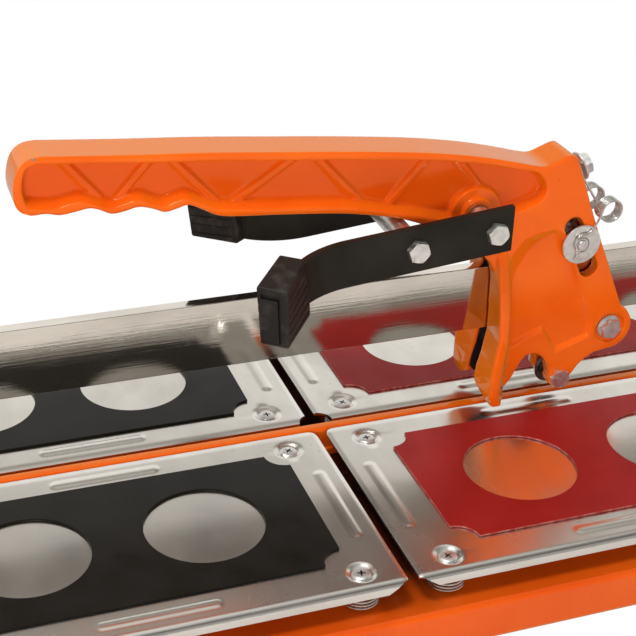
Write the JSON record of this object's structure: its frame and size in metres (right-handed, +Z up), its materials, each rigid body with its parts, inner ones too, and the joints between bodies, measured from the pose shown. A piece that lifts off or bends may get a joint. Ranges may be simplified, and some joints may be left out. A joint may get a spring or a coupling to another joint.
{
  "type": "tile cutter",
  "caption": "Manual mono-rail tile cutter: a cast handle with scoring wheel and breaker yoke rolls on a flat rail over sprung tables with rubber mats.",
  "frame": {"origin": "bottom centre of the base's footprint, on the surface the feet stand on", "axes": "+X along the rail towards the fence, +Y away from the side with the bolt heads, +Z up"},
  "size_m": [1, 0.296, 0.2282],
  "materials": {
    "orange_paint": "glossy orange enamel",
    "polished_steel": "polished flat bar, fine lengthwise scratches",
    "table_steel": "satin zinc-plated sheet",
    "chrome_steel": "bright plated",
    "spring_steel": "bright spring wire",
    "bearing_steel": "ground steel",
    "carbide": "dark ground carbide",
    "black_steel": "satin black enamel",
    "black_rubber": "moulded black rubber",
    "black_mat": "matt black rubber sheet",
    "red_mat": "matt red rubber sheet",
    "aluminium": "satin extruded"
  },
  "bodies": {
    "base": {"base_tray": "orange_paint", "breaker_ridge": "orange_paint", "rail": "polished_steel", "rail_post_left": "orange_paint", "rail_bolt_left": "chrome_steel", "rail_post_right": "orange_paint", "rail_bolt_right": "chrome_steel", "fence": "aluminium", "foot_front_left": "black_rubber", "foot_front_right": "black_rubber", "foot_rear_left": "black_rubber", "foot_rear_right": "black_rubber", "spring_front_left_1": "spring_steel", "spring_front_left_2": "spring_steel", "spring_front_left_3": "spring_steel", "spring_front_left_4": "spring_steel", "spring_front_right_1": "spring_steel", "spring_front_right_2": "spring_steel", "spring_front_right_3": "spring_steel", "spring_front_right_4": "spring_steel", "spring_rear_left_1": "spring_steel", "spring_rear_left_2": "spring_steel", "spring_rear_left_3": "spring_steel", "spring_rear_left_4": "spring_steel", "spring_rear_right_1": "spring_steel", "spring_rear_right_2": "spring_steel", "spring_rear_right_3": "spring_steel", "spring_rear_right_4": "spring_steel"},
    "carriage": {"fulcrum_bolt": "chrome_steel"},
    "head": {"handle_casting": "orange_paint", "wheel_bolt": "chrome_steel", "wheel_spacer_front": "bearing_steel", "wheel_spacer_rear": "bearing_steel", "anchor_bolt": "chrome_steel", "torsion_spring": "spring_steel"},
    "upper_axle": {"upper_pin": "chrome_steel", "pin_washer_front": "chrome_steel", "pin_washer_rear": "chrome_steel"},
    "upper_roller": {"upper_roller": "bearing_steel"},
    "lower_roller": {"lower_roller": "bearing_steel"},
    "scoring_wheel": {"scoring_wheel": "carbide"},
    "yoke": {"breaker_arm_front": "black_steel", "breaker_arm_rear": "black_steel", "breaker_pad_front": "black_rubber", "breaker_pad_rear": "black_rubber", "yoke_pivot_tube": "chrome_steel", "yoke_stop_tube": "chrome_steel", "yoke_pivot_bolt": "chrome_steel", "yoke_stop_bolt": "chrome_steel"},
    "table_front_left": {"table_front_left": "table_steel", "mat_front_left": "black_mat"},
    "table_front_right": {"table_front_right": "table_steel", "mat_front_right": "red_mat"},
    "table_rear_left": {"table_rear_left": "table_steel", "mat_rear_left": "black_mat"},
    "table_rear_right": {"table_rear_right": "table_steel", "mat_rear_right": "red_mat"},
    "side_stop": {"side_stop": "black_steel"},
    "stop_knob": {"stop_knob": "black_rubber"}
  },
  "joints": [
    {"name": "carriage_travel", "type": "slide", "parent": "base", "child": "carriage", "axis": [1, 0, 0], "range_m": [-0.541, 0.262]},
    {"name": "handle_tilt", "type": "hinge", "parent": "carriage", "child": "head", "pos_m": [0.171, 0, 0.09135], "axis": [0, 1, 0], "range_deg": [-2, 18], "stiffness_Nm_per_rad": 9, "springref_deg": 18.91},
    {"name": "upper_axle_shift", "type": "slide", "parent": "carriage", "child": "upper_axle", "axis": [1, 0, 0], "range_m": [-0.003, 0.021]},
    {"name": "upper_roller_spin", "type": "hinge", "parent": "upper_axle", "child": "upper_roller", "pos_m": [0.1447, 0, 0.14765], "axis": [0, 1, 0], "continuous": true},
    {"name": "lower_roller_spin", "type": "hinge", "parent": "carriage", "child": "lower_roller", "pos_m": [0.171, 0, 0.09135], "axis": [0, 1, 0], "continuous": true},
    {"name": "scoring_wheel_spin", "type": "hinge", "parent": "head", "child": "scoring_wheel", "pos_m": [0.1415, 0, 0.064], "axis": [0, 1, 0], "continuous": true},
    {"name": "yoke_swing", "type": "hinge", "parent": "head", "child": "yoke", "pos_m": [0.082, 0, 0.1714], "axis": [0, 1, 0], "range_deg": [-27, 0]},
    {"name": "table_front_left_press", "type": "slide", "parent": "base", "child": "table_front_left", "axis": [0, 0, 1], "range_m": [-0.003, 0], "stiffness_N_per_m": 9000, "springref_m": 0.003, "deforming": ["spring_front_left_1", "spring_front_left_2", "spring_front_left_3", "spring_front_left_4"]},
    {"name": "table_front_right_press", "type": "slide", "parent": "base", "child": "table_front_right", "axis": [0, 0, 1], "range_m": [-0.003, 0], "stiffness_N_per_m": 9000, "springref_m": 0.003, "deforming": ["spring_front_right_1", "spring_front_right_2", "spring_front_right_3", "spring_front_right_4"]},
    {"name": "table_rear_left_press", "type": "slide", "parent": "base", "child": "table_rear_left", "axis": [0, 0, 1], "range_m": [-0.003, 0], "stiffness_N_per_m": 9000, "springref_m": 0.003, "deforming": ["spring_rear_left_1", "spring_rear_left_2", "spring_rear_left_3", "spring_rear_left_4"]},
    {"name": "table_rear_right_press", "type": "slide", "parent": "base", "child": "table_rear_right", "axis": [0, 0, 1], "range_m": [-0.003, 0], "stiffness_N_per_m": 9000, "springref_m": 0.003, "deforming": ["spring_rear_right_1", "spring_rear_right_2", "spring_rear_right_3", "spring_rear_right_4"]},
    {"name": "side_stop_slide", "type": "slide", "parent": "base", "child": "side_stop", "axis": [0, 1, 0], "range_m": [-0.03, 0.05]},
    {"name": "stop_knob_turn", "type": "hinge", "parent": "side_stop", "child": "stop_knob", "pos_m": [0.4593, -0.086, 0.0606], "axis": [1, 0, 0], "range_deg": [-270, 90]}
  ],
  "couplings": [
    {"joint": "upper_axle_shift", "follows": "handle_tilt", "m_per_rad": 0.063},
    {"joint": "upper_roller_spin", "follows": "carriage_travel", "rad_per_m": 90.909},
    {"joint": "lower_roller_spin", "follows": "carriage_travel", "rad_per_m": -133.33}
  ]
}
